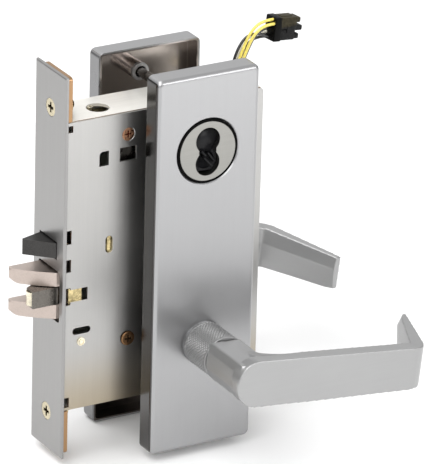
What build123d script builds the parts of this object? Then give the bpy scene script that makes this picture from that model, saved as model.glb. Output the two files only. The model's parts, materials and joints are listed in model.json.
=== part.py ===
from build123d import *
import math
import os

os.makedirs("parts", exist_ok=True)

# Electrified mortise lockset, in millimetres.
# +X runs from the door edge into the door, +Z is up, and -Y is the outside (keyed) face of the door.
# The origin is on the outer face of the faceplate, in the middle of its height and width.

# Door and trim
DOOR_THICK = 44.45
BACKSET = 69.85
LEVER_Z = -44.5
CYL_Z = 57.9

# Faceplate and the front plate behind it
FACE_HEIGHT = 203.2
FACE_WIDTH = 31.75
FACE_THICK = 1.6
FRONT_THICK = 3.5
FRONT_HEIGHT = 200.8
FRONT_WIDTH = 26.4
FRONT_BACK = FACE_THICK + FRONT_THICK
FACE_SCREW_Z = 81.35
MOUNT_HOLE_Z = 92.1
MOUNT_HOLE_R = 2.9

# Case
CASE_HEIGHT = 154.0
CASE_WIDTH = 25.4
CASE_START = 1.9
CASE_END = 112.7
WALL = 1.5
COVER_THICK = 1.2
COVER_START = 2.6
CASE_TOP = CASE_HEIGHT / 2
CASE_SIDE = CASE_WIDTH / 2
INNER_SIDE = CASE_SIDE - WALL
COVER_INNER = CASE_SIDE - COVER_THICK
NOTCHES = [(71.5, 75.0), (12.5, 19.7), (-2.5, 4.2), (-20.2, -11.0), (-75.5, -70.3)]

# Latchbolt and its anti-friction tongue
LATCH_OUT = 17.8
LATCH_HALF_WIDTH = 9.0
LATCH_LOW = -27.9
LATCH_HIGH = -3.2
SLOT_LOW = -20.4
SLOT_HIGH = -10.6
LATCH_BACK = 14.0
SLOT_BACK = 6.3
TONGUE_PIVOT = (1.5, -4.0)
TONGUE_FACE_Y = -9.2
ROLLER_R = 3.6
ROLLER_AT = (-10.9, -5.3)

# Latch tail, in the plane of the inside hub's arm
TAIL_Y = 6.5
TAIL_THICK = 4.0
TAIL_Z = -15.5
HOOK_TOP = -9.9
ARM_LENGTH = 26.0
ARM_TIP_R = 3.0

# Guard bolt
GUARD_OUT = 12.5
GUARD_LOW = 4.2
GUARD_HIGH = 12.2
GUARD_TRAVEL = 11.5

# Escutcheons: the inside plate sits a little lower and nearer the door edge than the outside one
ESC_WIDTH = 57.15
ESC_HEIGHT = 200.0
ESC_DEPTH = 11.1
ESC_CENTRE_Z = -1.3
ESC_WALL = 1.6
ESC_FACE = DOOR_THICK / 2 + ESC_DEPTH
ESC_RIM = DOOR_THICK / 2
UPPER_BOLT = (61.0, 82.5)
LOWER_BOLT = (BACKSET, -86.0)
INSIDE_SHIFT_X = -2.5
INSIDE_SHIFT_Z = -4.0
POST_R = 4.6
BOLT_R = 2.4

# Levers, drawn level and then turned down to where their return springs hold them
OUTSIDE_DROOP = 6.2
OUTSIDE_TIP_X = 112.8
INSIDE_DROOP = 7.0
INSIDE_TIP_X = 124.4
LEVER_FACE = 90.0
LEVER_TIP_DEPTH = 48.0
LEVER_BEND = 69.6
LEVER_BEND_R = 10.0
LEVER_HALF_HEIGHT = 12.35
LEVER_RIDGE_Z = 3.4
# each row of a return: depth behind the flat face, edge thickness, ridge thickness, half height
OUTSIDE_RETURN = [(43.0, 3.4, 4.8, 9.1), (48.0, 1.6, 3.8, 8.7), (50.6, 0.9, 2.8, 5.6), (51.8, 0.6, 1.6, 2.4)]
INSIDE_RETURN = [(43.0, 3.8, 5.0, 9.1), (48.6, 3.2, 4.4, 8.6)]
COLLAR_R = 11.6
# the neck has a flat top and a crease along its upper edge on the side of the door edge
NECK_OUTLINE = [(-9.4, 9.5), (6.4, 10.1), (9.6, 7.2), (11.4, 3.4), (11.9, 0.0), (11.2, -4.1), (9.1, -7.7),
                (6.0, -10.3), (2.1, -11.7), (-2.1, -11.7), (-6.0, -10.3), (-9.1, -7.5), (-10.9, -3.8),
                (-11.3, 0.6), (-10.8, 5.0)]
SHANK_R = 8.0
COLLAR_END = 55.5
SPINDLE = 8.0
SPINDLE_END = -62.8
SET_SCREW_Y = -59.2

# Mortise cylinder
CYL_R = 14.6
CYL_HEAD_R = 15.45
CYL_RING_R = 16.75
LOBE_R = 6.7
LOBE_GAP = 11.8

# Clutch between the two hubs
HUB_R = 11.4
HUB_BOSS_R = 9.95
HUB_HOLE_R = 10.0
CLUTCH_PIN_R = 2.0
CLUTCH_PIN_AT = 9.0
CLUTCH_TRAVEL = 2.6
WEDGE_SLOPE = 0.5
WEDGE_ZERO_Z = -40.0

# Solenoid
SOLENOID_X = 102.0
COIL_R = 8.5
PLUNGER_R = 3.5

# Lead wires: each is a list of points from the grommet to the connector
WIRE_R = 0.75
GROMMET_AT = (104.0, 0.0)
CONNECTOR_AT = (123.0, 0.2, 102.0)
CONNECTOR_PITCH = 8.0
CONNECTOR_YAW = 8.0
WIRE_ROUTES = {
    "lead_yellow_1": [(103.3, -1.1, 75.2), (103.6, -1.2, 85.0), (106.9, -1.5, 94.3), (110.6, -1.8, 102.4),
                      (116.8, -1.8, 107.5), (124.7, -1.0, 106.8)],
    "lead_yellow_2": [(105.2, -1.5, 75.2), (105.1, -2.2, 84.8), (108.2, -2.9, 94.1), (111.9, -3.4, 101.8),
                      (117.9, -3.5, 105.7), (124.6, -2.4, 104.9)],
    "lead_black_1": [(101.1, -0.2, 75.2), (101.4, -0.1, 84.5), (104.6, 0.1, 93.9), (109.7, 0.3, 100.2),
                     (117.2, 0.5, 100.1), (123.2, 0.4, 97.5)],
    "lead_black_2": [(106.4, 0.7, 75.2), (106.7, 0.2, 83.5), (110.2, -0.9, 93.6), (113.2, -1.5, 100.1),
                     (118.5, -0.7, 102.5), (123.9, 0.5, 102.9)],
    "lead_black_3": [(105.0, 2.4, 75.2), (105.7, 2.8, 82.7), (110.1, 4.0, 90.3), (114.2, 4.6, 95.1),
                     (118.7, 4.2, 96.7), (122.7, 3.0, 96.7)],
    "lead_white_1": [(102.9, 1.7, 75.2), (103.7, 1.9, 83.4), (107.3, 2.2, 92.2), (111.7, 2.6, 97.9),
                     (117.7, 2.8, 99.3), (123.1, 2.6, 99.5)],
}


def block(x0, x1, y0, y1, z0, z1):
    """A box between two corners."""
    return Pos((x0 + x1) / 2, (y0 + y1) / 2, (z0 + z1) / 2) * Box(x1 - x0, y1 - y0, z1 - z0)


def rod_x(y, z, r, x0, x1):
    """A cylinder along X."""
    return Pos((x0 + x1) / 2, y, z) * Rot(0, 90, 0) * Cylinder(r, x1 - x0)


def rod_y(x, z, r, y0, y1):
    """A cylinder along Y."""
    return Pos(x, (y0 + y1) / 2, z) * Rot(90, 0, 0) * Cylinder(r, y1 - y0)


def rod_z(x, y, r, z0, z1):
    """A cylinder along Z."""
    return Pos(x, y, (z0 + z1) / 2) * Cylinder(r, z1 - z0)


def cone_x(y, z, r0, r1, x0, x1):
    """A cone along X, with radius r0 at x0 and r1 at x1."""
    return Pos((x0 + x1) / 2, y, z) * Rot(0, 90, 0) * Cone(r0, r1, x1 - x0)


def cone_y(x, z, r0, r1, y0, y1):
    """A cone along Y, with radius r0 at y0 and r1 at y1."""
    return Pos(x, (y0 + y1) / 2, z) * Rot(-90, 0, 0) * Cone(r0, r1, y1 - y0)


def plan_prism(points, z0, z1):
    """A straight-sided plan in X and Y, raised from z0 to z1."""
    return Pos(0, 0, z0) * extrude(make_face(Polyline(*points, close=True)), z1 - z0)


def side_prism(points, y0, y1):
    """A straight-sided outline in X and Z, given depth from y0 to y1."""
    face = make_face(Polyline(*[(x, y0, z) for x, z in points], close=True))
    return extrude(face, amount=y1 - y0, dir=(0, 1, 0))


def inside(shape):
    """The same piece on the inside of the door."""
    return mirror(shape, about=Plane.XZ)


# ---------------------------------------------------------------- front of the lock

def latch_opening(x0, x1):
    """The hole in the front plates that the latchbolt passes through."""
    hole = block(x0, x1, -12.0, 9.9, LATCH_LOW - 1.3, LATCH_HIGH + 1.1)
    return fillet(hole.edges().filter_by(Axis.X), 1.5)


def guard_opening(x0, x1):
    """The hole in the front plates that the guard bolt passes through."""
    return block(x0, x1, -8.7, 9.3, GUARD_LOW - 0.6, GUARD_HIGH + 0.8)


def face_screw(z, gap):
    """A countersunk faceplate screw, or with a gap the hole that it needs."""
    head = cone_x(0, z, 4.6 + gap, 2.2 + gap, 0.1 - gap, 2.5)
    return head + rod_x(0, z, 2.1 + gap, 2.4, 12.0)


def cross_recess_x(z):
    """A cross recess cut into a screw that faces -X."""
    cross = block(0, 1.6, -2.7, 2.7, z - 0.75, z + 0.75) + block(0, 1.6, -0.75, 0.75, z - 2.7, z + 2.7)
    return cross + rod_x(0, z, 1.3, 0, 3.2)


def faceplate():
    plate = block(0, FACE_THICK, -FACE_WIDTH / 2, FACE_WIDTH / 2, -FACE_HEIGHT / 2, FACE_HEIGHT / 2)
    plate = fillet(plate.faces().sort_by(Axis.X)[0].edges(), 0.9)
    plate -= latch_opening(-1, 3)
    plate -= guard_opening(-1, 3)
    for z in (-FACE_SCREW_Z, FACE_SCREW_Z):
        plate -= face_screw(z, 0.1)
        plate -= rod_x(0, z, 4.7, -1, 0.2)
    return plate


def faceplate_screws():
    screws = []
    for z in (-FACE_SCREW_Z, FACE_SCREW_Z):
        screws.append(face_screw(z, 0) - cross_recess_x(z))
    return Compound(children=screws)


def inner_front():
    half_height = FRONT_HEIGHT / 2
    plate = block(FACE_THICK, FRONT_BACK, -FRONT_WIDTH / 2, FRONT_WIDTH / 2, -half_height, half_height)
    plate = fillet(plate.edges().filter_by(Axis.X), 2.0)
    for side in (-1, 1):
        y0, y1 = sorted((side * (INNER_SIDE - 0.1), side * 20))
        plate -= block(0, 10, y0, y1, -CASE_TOP - 0.3, CASE_TOP + 0.3)
    plate -= latch_opening(0, 10)
    plate -= guard_opening(0, 10)
    for z0, z1 in NOTCHES:
        plate -= block(0, 10, -20, -7.5, z0, z1)
    for z in (-1, 1):
        plate -= face_screw(z * FACE_SCREW_Z, 0.05)
        plate -= rod_x(0, z * MOUNT_HOLE_Z, MOUNT_HOLE_R, 0, 10)
    return plate


def screw_lugs():
    """Threaded bosses behind the front plate that take the faceplate screws."""
    lugs = []
    for z in (-FACE_SCREW_Z, FACE_SCREW_Z):
        lugs.append(rod_x(0, z, 4.2, FRONT_BACK, FRONT_BACK + 5.2) - rod_x(0, z, 2.15, 0, 20))
    return Compound(children=lugs)


# ---------------------------------------------------------------- case

SCREW_UPPER = (36.8, 65.2)
SCREW_LOWER = (38.2, -44.1)
RIVETS = [(12.1, -40.9), (98.0, 71.2), (100.5, -71.2), (52.0, -70.0)]
TOP_HOLE = (25.7, -1.0)
TOP_STUD = (22.4, 0.6)


def case_body():
    """The folded tray: far wall, top, bottom and rear wall."""
    tray = block(CASE_START, CASE_END, -COVER_INNER, CASE_SIDE, -CASE_TOP, CASE_TOP)
    rear = [e for e in tray.edges().filter_by(Axis.Y) if e.center().X > CASE_END - 1]
    tray = fillet(rear, 2.0)
    inner_top = CASE_TOP - WALL
    tray -= block(0, CASE_END - WALL, -20, INNER_SIDE, -inner_top, inner_top)
    tray -= block(0, FRONT_BACK + 0.1, -20, INNER_SIDE, -CASE_TOP - 1, CASE_TOP + 1)
    tray -= rod_y(BACKSET, LEVER_Z, HUB_HOLE_R, 5, 20)
    tray -= rod_z(*TOP_HOLE, 5.8, 70, 80)
    tray -= rod_z(*GROMMET_AT, 5.0, 70, 80)
    for x, z in RIVETS:
        tray -= rod_y(x, z, 1.6, 5, 20)
    return tray


def case_cover():
    """The flat cover plate on the outside, with its sight holes and slots."""
    y0, y1 = -CASE_SIDE, -COVER_INNER
    cover = block(COVER_START, CASE_END, y0, y1, -CASE_TOP, CASE_TOP - 0.4)
    rear = [e for e in cover.edges().filter_by(Axis.Y) if e.center().X > CASE_END - 1]
    cover = fillet(rear, 2.0)
    cover -= rod_y(BACKSET, CYL_Z, CYL_R + 0.3, -20, -5)
    cover -= rod_y(BACKSET, LEVER_Z, HUB_HOLE_R, -20, -5)
    cover -= block(20.8, 26.0, -20, -5, 50.8, 56.4) + block(22.6, 26.0, -20, -5, 56.0, 58.4)
    cover -= rod_y(22.8, 56.4, 2.0, -20, -5)
    cover -= block(32.2, 41.3, -20, -5, 51.4, 58.6)
    slot_r = 2.0
    cover -= block(25.0, 29.0, -20, -5, 6.0, 11.0)
    cover -= rod_y(27, 6, slot_r, -20, -5) + rod_y(27, 11, slot_r, -20, -5)
    cover -= block(0, 15.4, -20, -5, -18.7, -12.1)
    oval_r = 1.8
    cover -= block(9.1, 15.6, -20, -5, -36.8, -33.2)
    cover -= rod_y(9.1, -35, oval_r, -20, -5) + rod_y(15.6, -35, oval_r, -20, -5)
    for z0, z1 in NOTCHES:
        cover -= block(0, 5.9, -20, -5, z0, z1)
    cover -= cone_y(*SCREW_UPPER, 3.65, 1.75, -12.71, -11.2)
    cover -= rod_y(*SCREW_LOWER, 1.9, -20, -5)
    for x, z in RIVETS:
        cover -= rod_y(x, z, 1.6, -20, -5)
    return cover


def cross_recess_y(x, z, y0, y1, arm):
    """A cross recess cut into a screw that faces -Y."""
    level = block(x - arm, x + arm, y0, y1, z - 0.45, z + 0.45)
    return level + block(x - 0.45, x + 0.45, y0, y1, z - arm, z + arm)


def cover_screw_upper():
    x, z = SCREW_UPPER
    screw = cone_y(x, z, 3.4, 1.6, -12.6, -11.2) + rod_y(x, z, 1.6, -11.3, -2)
    return screw - cross_recess_y(x, z, -13, -11.6, 1.9)


def cover_screw_lower():
    x, z = SCREW_LOWER
    head = rod_y(x, z, 3.8, -14.0, -12.72)
    head = fillet(head.faces().sort_by(Axis.Y)[0].edges(), 0.8)
    return head + rod_y(x, z, 1.8, -12.8, -2) - cross_recess_y(x, z, -15, -13.2, 2.0)


def case_posts():
    """Threaded posts that the two cover screws go into, with the plate seen through the square hole."""
    posts = []
    for (x, z), r in ((SCREW_UPPER, 1.65), (SCREW_LOWER, 1.85)):
        posts.append(rod_y(x, z, 3.4, -COVER_INNER + 0.4, INNER_SIDE) - rod_y(x, z, r, -20, 0))
    posts[0] += block(31.4, 43.4, -8.8, -8.0, 49.6, 61.9) + block(35.4, 38.2, -8.8, -8.0, 61.0, 62.4)
    return Compound(children=posts)


def case_rivets():
    """Rivets with a low head on both faces of the case."""
    rivets = []
    for x, z in RIVETS:
        pin = rod_y(x, z, 1.55, -CASE_SIDE - 0.6, CASE_SIDE + 0.6)
        pin += rod_y(x, z, 2.2, -CASE_SIDE - 0.6, -CASE_SIDE)
        pin -= rod_y(x, z, 1.6, -CASE_SIDE - 1, -CASE_SIDE - 0.2) - rod_y(x, z, 1.1, -20, 0)
        pin += rod_y(x, z, 2.2, CASE_SIDE, CASE_SIDE + 0.6)
        rivets.append(pin)
    return Compound(children=rivets)


def top_stud():
    """The small locating stud beside the round hole in the top of the case, on its bracket."""
    x, y = TOP_STUD
    bracket = block(17.5, 34, -8, 8, CASE_TOP - 7.0, CASE_TOP - 4.5)
    stud = rod_z(x, y, 1.5, CASE_TOP - 4.6, CASE_TOP + 0.7)
    return bracket + stud - rod_z(x, y, 0.7, CASE_TOP - 1, CASE_TOP + 2)


def brass_guides():
    """Brass wear strips behind the window and the upright slot in the cover."""
    lower = block(5.4, 12.8, -COVER_INNER + 0.1, -COVER_INNER + 1.2, -20, -10.8)
    upper = rod_z(28.2, -COVER_INNER + 2.3, 2.2, 2.0, 15.0)
    return Compound(children=[lower, upper])


# ---------------------------------------------------------------- latchbolt

def latch_plan():
    """Plan of the latchbolt's head: a slightly crowned bevel on the outside face."""
    half = LATCH_HALF_WIDTH
    bevel = ThreePointArc((0, -half), (-8.7, -2.7), (-LATCH_OUT + 1.1, 4.9))
    nose = ThreePointArc((-LATCH_OUT + 1.1, 4.9), (-LATCH_OUT + 0.15, 6.2), (-LATCH_OUT, 7.6))
    rest = Polyline((-LATCH_OUT, 7.6), (-LATCH_OUT + 0.6, half), (LATCH_BACK, half), (LATCH_BACK, -half),
                    (0, -half))
    return make_face([*bevel.edges(), *nose.edges(), *rest.edges()])


def latch_head():
    """Both cheeks and the block behind the slot that joins them."""
    body = Pos(0, 0, LATCH_LOW) * extrude(latch_plan(), LATCH_HIGH - LATCH_LOW)
    body -= block(-30, SLOT_BACK, -20, 20, SLOT_LOW, SLOT_HIGH)
    for z0, z1 in ((LATCH_LOW, SLOT_LOW), (SLOT_HIGH, LATCH_HIGH)):
        for r, z, side in ((3.4, z0, 1), (1.3, z1, -1)):
            low, high = sorted((z, z + side * r))
            corner = block(-LATCH_OUT - 1, -LATCH_OUT + r, -20, 20, low, high)
            corner -= rod_y(-LATCH_OUT + r, z + side * r, r, -20, 20)
            body -= corner
    body -= rod_z(*TONGUE_PIVOT, 1.5, LATCH_LOW + 1.5, LATCH_HIGH - 1.5)
    body -= block(LATCH_BACK - 5, LATCH_BACK + 1, TAIL_Y - 2.1, TAIL_Y + 3, TAIL_Z - 2.6, TAIL_Z + 2.6)
    return body


def tongue_plan_solid(z0, z1):
    px, py = TONGUE_PIVOT
    far_y = py + 4.4
    solid = plan_prism([(-13.3, TONGUE_FACE_Y), (0.6, TONGUE_FACE_Y),
                        (px + 1.2, py - 4.2), (px + 1.2, py + 4.2),
                        (px, far_y), (-8.0, far_y), (-13.3, -2.6)], z0, z1)
    return solid + rod_z(px, py, 4.4, z0, z1)


def tongue():
    """The anti-friction tongue, which folds into the slot about an upright pin."""
    z0, z1 = SLOT_LOW + 0.4, SLOT_HIGH - 0.4
    body = tongue_plan_solid(z0, z1)
    body -= rod_z(*ROLLER_AT, ROLLER_R + 0.05, z0 + 0.8, z1 - 0.8)
    body -= rod_z(*TONGUE_PIVOT, 1.56, z0 - 1, z1 + 1)
    return body


def tongue_roller():
    return rod_z(*ROLLER_AT, ROLLER_R, SLOT_LOW + 1.3, SLOT_HIGH - 1.3)


def tongue_pin():
    return rod_z(*TONGUE_PIVOT, 1.5, LATCH_LOW + 1.5, LATCH_HIGH - 1.5)


def latch_tail():
    """The flat steel tail, and the hook on its end with the leg that the hub's arm pulls back."""
    half = TAIL_THICK / 2
    y0, y1 = TAIL_Y - half, TAIL_Y + half
    tip_top = LEVER_Z + ARM_LENGTH + ARM_TIP_R
    tail = block(LATCH_BACK - 5, 66.0, y0, y1, TAIL_Z - 2.5, TAIL_Z + 2.5)
    tail += block(62.0, 78.7, y0, y1, tip_top + 0.4, HOOK_TOP)
    return tail + block(74.4, 78.7, y0, y1, -29.5, HOOK_TOP)


def spring_tube_x(y, z, r_in, r_out, x0, x1):
    return rod_x(y, z, r_out, x0, x1) - rod_x(y, z, r_in, x0 - 1, x1 + 1)


def latch_spring():
    return spring_tube_x(TAIL_Y, TAIL_Z, 3.5, 4.4, LATCH_BACK, 46.0)


def bolt_guide():
    """The fixed plate that the latch tail and the guard bolt's rod run through, and both springs bear on."""
    guide = block(46.0, 48.5, -6.0, INNER_SIDE, -24.0, 15.0)
    half = TAIL_THICK / 2 + 0.3
    guide -= block(40, 55, TAIL_Y - half, TAIL_Y + half, TAIL_Z - 2.8, TAIL_Z + 2.8)
    return guide - rod_x(GUARD_Y, GUARD_Z, 2.3, 40, 55)


# ---------------------------------------------------------------- guard bolt and deadlocking lever

GUARD_Y = 0.2
GUARD_Z = (GUARD_LOW + GUARD_HIGH) / 2
DEADLOCK_PIVOT = (58.0, 2.0)


def guard_bolt():
    """The wedge-shaped head and the round rod behind it."""
    head = plan_prism([(0, -8.0), (-GUARD_OUT, 4.0), (-GUARD_OUT + 0.6, 5.0),
                       (0, 8.6), (12, 8.6), (12, -8.0)],
                      GUARD_LOW, GUARD_HIGH)
    return head + rod_x(GUARD_Y, GUARD_Z, 2.0, 11, 52)


def guard_spring():
    return spring_tube_x(GUARD_Y, GUARD_Z, 2.3, 3.4, 12.0, 46.0)


def deadlock_lever():
    """The lever whose tooth drops behind the latch hook when the guard bolt is pressed in."""
    x, z = DEADLOCK_PIVOT
    y0, y1 = TAIL_Y - 2, TAIL_Y + 2
    outline = [(x - 4, z - 3), (x + 27, z - 3), (x + 27, z + 1.5), (x, z + 4), (x - 4, z + 4)]
    lever = side_prism(outline, y0, y1)
    lever += block(x + 23.6, x + 27, y0, y1, -9.4, z - 2)
    return lever - rod_y(x, z, 2.06, 0, 20)


def deadlock_pin():
    return rod_y(*DEADLOCK_PIVOT, 2.0, TAIL_Y - 3, INNER_SIDE)


# ---------------------------------------------------------------- hubs and clutch

def square_bar_y(side, y0, y1):
    half = side / 2
    return block(BACKSET - half, BACKSET + half, y0, y1, LEVER_Z - half, LEVER_Z + half)


def clutch_pin_places():
    return [(BACKSET + side * CLUTCH_PIN_AT, LEVER_Z) for side in (-1, 1)]


def outside_hub():
    hub = rod_y(BACKSET, LEVER_Z, HUB_R, -11.2, -5.6) + rod_y(BACKSET, LEVER_Z, HUB_BOSS_R, -12.9, -11.1)
    hub -= square_bar_y(SPINDLE + 0.1, -20, 0)
    for x, z in clutch_pin_places():
        hub -= rod_y(x, z, CLUTCH_PIN_R + 0.06, -10.4, 0)
    return hub


def inside_hub():
    """The inside hub, with the arm that pulls the latch back."""
    hub = rod_y(BACKSET, LEVER_Z, HUB_R, 1.0, 10.9) + rod_y(BACKSET, LEVER_Z, HUB_BOSS_R, 10.8, 12.9)
    half = TAIL_THICK / 2
    tip_z = LEVER_Z + ARM_LENGTH
    hub += block(BACKSET - 2.5, BACKSET + 2.5, TAIL_Y - half, TAIL_Y + half, LEVER_Z, tip_z)
    hub += rod_y(BACKSET, tip_z, ARM_TIP_R, TAIL_Y - half, TAIL_Y + half)
    hub -= square_bar_y(SPINDLE + 0.1, 0, 20)
    for x, z in clutch_pin_places():
        hub -= rod_y(x, z, CLUTCH_PIN_R + 0.35, 0, 4.6)
    return hub


def clutch_ring():
    """The ring whose two pins slide in the outside hub and can enter the inside hub."""
    ring = rod_y(BACKSET, LEVER_Z, 14.5, -3.5, -1.9) - rod_y(BACKSET, LEVER_Z, 6.4, -5, 0)
    for x, z in clutch_pin_places():
        ring += rod_y(x, z, CLUTCH_PIN_R, -9.8, 0.6)
    return ring


def wedge_slot(half_thick, x0, x1, z0, z1):
    """A slanting blade, or the slot for it: it moves towards -Y as it rises."""
    y0 = -WEDGE_SLOPE * (z0 - WEDGE_ZERO_Z)
    y1 = -WEDGE_SLOPE * (z1 - WEDGE_ZERO_Z)
    face = make_face(Polyline((x0, y0 - half_thick, z0), (x0, y0 + half_thick, z0),
                              (x0, y1 + half_thick, z1),
                              (x0, y1 - half_thick, z1), close=True))
    return extrude(face, amount=x1 - x0, dir=(1, 0, 0))


def clutch_yoke():
    """The fork that grips the clutch ring's rim, with a slanting slot for the plunger's blade."""
    rim = rod_y(BACKSET, LEVER_Z, 16.5, -5.0, -0.4) - rod_y(BACKSET, LEVER_Z, 12.4, -6, 1)
    rim -= rod_y(BACKSET, LEVER_Z, 14.8, -3.8, -1.6)
    rim -= block(BACKSET - 20, BACKSET, -10, 5, LEVER_Z - 20, LEVER_Z + 20)
    arm = block(85.5, 99.0, -5.0, -0.4, LEVER_Z - 3, LEVER_Z + 3)
    head = block(97.0, 107.2, -5.0, 6.0, LEVER_Z - 3, LEVER_Z + 3)
    head -= wedge_slot(1.3, 99.2, 104.8, LEVER_Z - 4, LEVER_Z + 4)
    return rim + arm + head


# ---------------------------------------------------------------- solenoid

def solenoid_coil():
    return rod_z(SOLENOID_X, 0, COIL_R, -2.0, 26.0) - rod_z(SOLENOID_X, 0, 3.8, -3, 30)


def solenoid_frame():
    frame = block(93.5, 110.5, -8.5, 9.2, -3.6, -2.0) + block(93.5, 110.5, -8.5, 9.2, 26.0, 27.6)
    frame -= rod_z(SOLENOID_X, 0, 3.8, -10, 10)
    return frame + block(93.5, 110.5, 9.0, 10.6, -3.6, 27.6)


def plunger():
    """The solenoid's plunger, its spring collar and the slanting blade that moves the yoke."""
    rod = rod_z(SOLENOID_X, 0, PLUNGER_R, -36.0, 16.0) + rod_z(SOLENOID_X, 0, 6.0, -25.6, -24.0)
    blade = wedge_slot(1.0, 99.5, 104.5, -56.0, -37.9)
    neck = block(99.5, 104.5, -3.2, 1.2, -38.4, -35.0)
    return rod + blade + neck


def plunger_spring():
    return rod_z(SOLENOID_X, 0, 5.6, -24.0, -3.6) - rod_z(SOLENOID_X, 0, 4.3, -30, 0)


def coil_leads():
    """Two wires held inside the case between the coil and the grommet."""
    wires = []
    for y in (-1.6, 1.6):
        path = FilletPolyline((SOLENOID_X, y, 27.6), (SOLENOID_X, y, 42.0), (GROMMET_AT[0], y, 56.0),
                              (GROMMET_AT[0], y, 74.0), radius=8)
        wires.append(sweep(Plane(origin=path @ 0, z_dir=path % 0) * Circle(WIRE_R), path=path))
    return Compound(children=wires)


def request_switch():
    """The small switch that reports when the inside lever is turned."""
    return block(84.0, 97.0, 3.0, 9.0, -71.0, -63.0) + rod_z(87.5, 6, 1.0, -63, -61.5)


# ---------------------------------------------------------------- trim

def escutcheon_shell(shift_x, shift_z):
    """The hollow plate on the outside of the door, open towards the door."""
    x0, x1 = BACKSET + shift_x - ESC_WIDTH / 2, BACKSET + shift_x + ESC_WIDTH / 2
    z0, z1 = ESC_CENTRE_Z + shift_z - ESC_HEIGHT / 2, ESC_CENTRE_Z + shift_z + ESC_HEIGHT / 2
    shell = block(x0, x1, -ESC_FACE, -ESC_RIM, z0, z1)
    shell = fillet(shell.edges().filter_by(Axis.Y), 3.2)
    shell = fillet(shell.faces().sort_by(Axis.Y)[0].edges(), 2.4)
    t = ESC_WALL
    hollow = block(x0 + t, x1 - t, -ESC_FACE + t, -ESC_RIM + 5, z0 + t, z1 - t)
    hollow = fillet(hollow.edges().filter_by(Axis.Y), 1.8)
    return shell - hollow - rod_y(BACKSET, LEVER_Z, 11.2, -50, 0)


def outside_escutcheon():
    """The outside plate, with its cylinder hole and two threaded posts."""
    shell = escutcheon_shell(0, 0) - rod_y(BACKSET, CYL_Z, CYL_RING_R + 0.05, -50, 0)
    for x, z in (UPPER_BOLT, LOWER_BOLT):
        shell += rod_y(x, z, POST_R, -ESC_FACE + ESC_WALL, -15.0)
        shell -= rod_y(x, z, BOLT_R + 0.05, -26, 0)
    return shell - cone_y(BACKSET, CYL_Z, CYL_RING_R + 0.9, CYL_RING_R, -ESC_FACE - 0.05, -ESC_FACE + 0.8)


def bolt_head_seat(x, z, gap):
    return cone_y(x, z, BOLT_R + gap, 4.5 + gap, ESC_FACE - 2.6, ESC_FACE - 0.1 + gap)


def inside_escutcheon():
    """The inside plate, with two tubular posts that the bolts pass through."""
    shell = inside(escutcheon_shell(INSIDE_SHIFT_X, INSIDE_SHIFT_Z))
    for x, z in (UPPER_BOLT, LOWER_BOLT):
        shell += rod_y(x, z, POST_R, 19.5, ESC_FACE - ESC_WALL)
        shell -= rod_y(x, z, 3.0, 0, 30.5)
        shell -= bolt_head_seat(x, z, 0.12) + rod_y(x, z, BOLT_R + 0.12, 25, 40)
    return shell


def through_bolts():
    bolts = []
    for x, z in (UPPER_BOLT, LOWER_BOLT):
        bolt = rod_y(x, z, BOLT_R, -24.0, ESC_FACE - 2.5) + bolt_head_seat(x, z, 0)
        bolt -= block(x - 3, x + 3, ESC_FACE - 1.3, ESC_FACE + 1, z - 0.5, z + 0.5)
        bolts.append(bolt)
    return Compound(children=bolts)


def bushing():
    """The bearing in the escutcheon that the lever's shank turns in."""
    body = rod_y(BACKSET, LEVER_Z, 11.15, -ESC_FACE - 0.9, -ESC_FACE + ESC_WALL)
    return body - rod_y(BACKSET, LEVER_Z, SHANK_R + 0.06, -60, 0)


def spring_cage():
    """The cup behind the escutcheon that holds the lever's return spring."""
    cup = rod_y(BACKSET, LEVER_Z, 20.0, -ESC_FACE + ESC_WALL, -25.0)
    cup -= rod_y(BACKSET, LEVER_Z, 18.4, -30.5, 0)
    return cup - rod_y(BACKSET, LEVER_Z, SHANK_R + 0.4, -60, 0)


def return_spring():
    return rod_y(BACKSET, LEVER_Z, 17.6, -30.2, -25.6) - rod_y(BACKSET, LEVER_Z, 12.0, -60, 0)


# ---------------------------------------------------------------- levers

def level_to_rest(shape, droop):
    """Turn a piece drawn on a level lever down to the lever's rest position."""
    return Pos(BACKSET, 0, LEVER_Z) * Rot(0, droop, 0) * shape


def lever_section(x, y, heading, edge, ridge, half_height):
    """A five-sided section through the grip: flat outside, two facets on the side of the fingers.

    It starts on the outer face at (x, y) and goes inwards along heading, in degrees from +X.
    """
    dx, dy = math.cos(math.radians(heading)), math.sin(math.radians(heading))
    inner = (x + edge * dx, y + edge * dy)
    crease = (x + ridge * dx, y + ridge * dy)
    crease_z = LEVER_RIDGE_Z * half_height / LEVER_HALF_HEIGHT
    return make_face(Polyline((x, y, -half_height), (x, y, half_height), (*inner, half_height),
                              (*crease, crease_z), (*inner, -half_height), close=True))


def lever_grip(tip_x, return_rows):
    """The flat grip, its rounded corner and the return that narrows towards the door."""
    lean = 1 / math.tan(math.radians(LEVER_BEND))
    corner_x = tip_x - LEVER_TIP_DEPTH * lean
    bend_x = corner_x - LEVER_BEND_R * math.tan(math.radians(LEVER_BEND / 2))
    sections = [lever_section(0, -LEVER_FACE, 90, 7.5, 9.5, LEVER_HALF_HEIGHT)]
    for part in (0, 0.25, 0.5, 0.75, 1):
        turn = math.radians(LEVER_BEND * part)
        x = bend_x + LEVER_BEND_R * math.sin(turn)
        y = -LEVER_FACE + LEVER_BEND_R * (1 - math.cos(turn))
        edge, ridge = 7.5 - 0.7 * part, 9.5 - 0.7 * part
        half_height = LEVER_HALF_HEIGHT - 1.1 - 0.4 * part
        sections.append(lever_section(x, y, 90 + LEVER_BEND * part, edge, ridge, half_height))
    for depth, edge, ridge, half_height in return_rows:
        x = corner_x + depth * lean
        sections.append(lever_section(x, depth - LEVER_FACE, 90 + LEVER_BEND, edge, ridge, half_height))
    return loft(sections, ruled=True)


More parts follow.
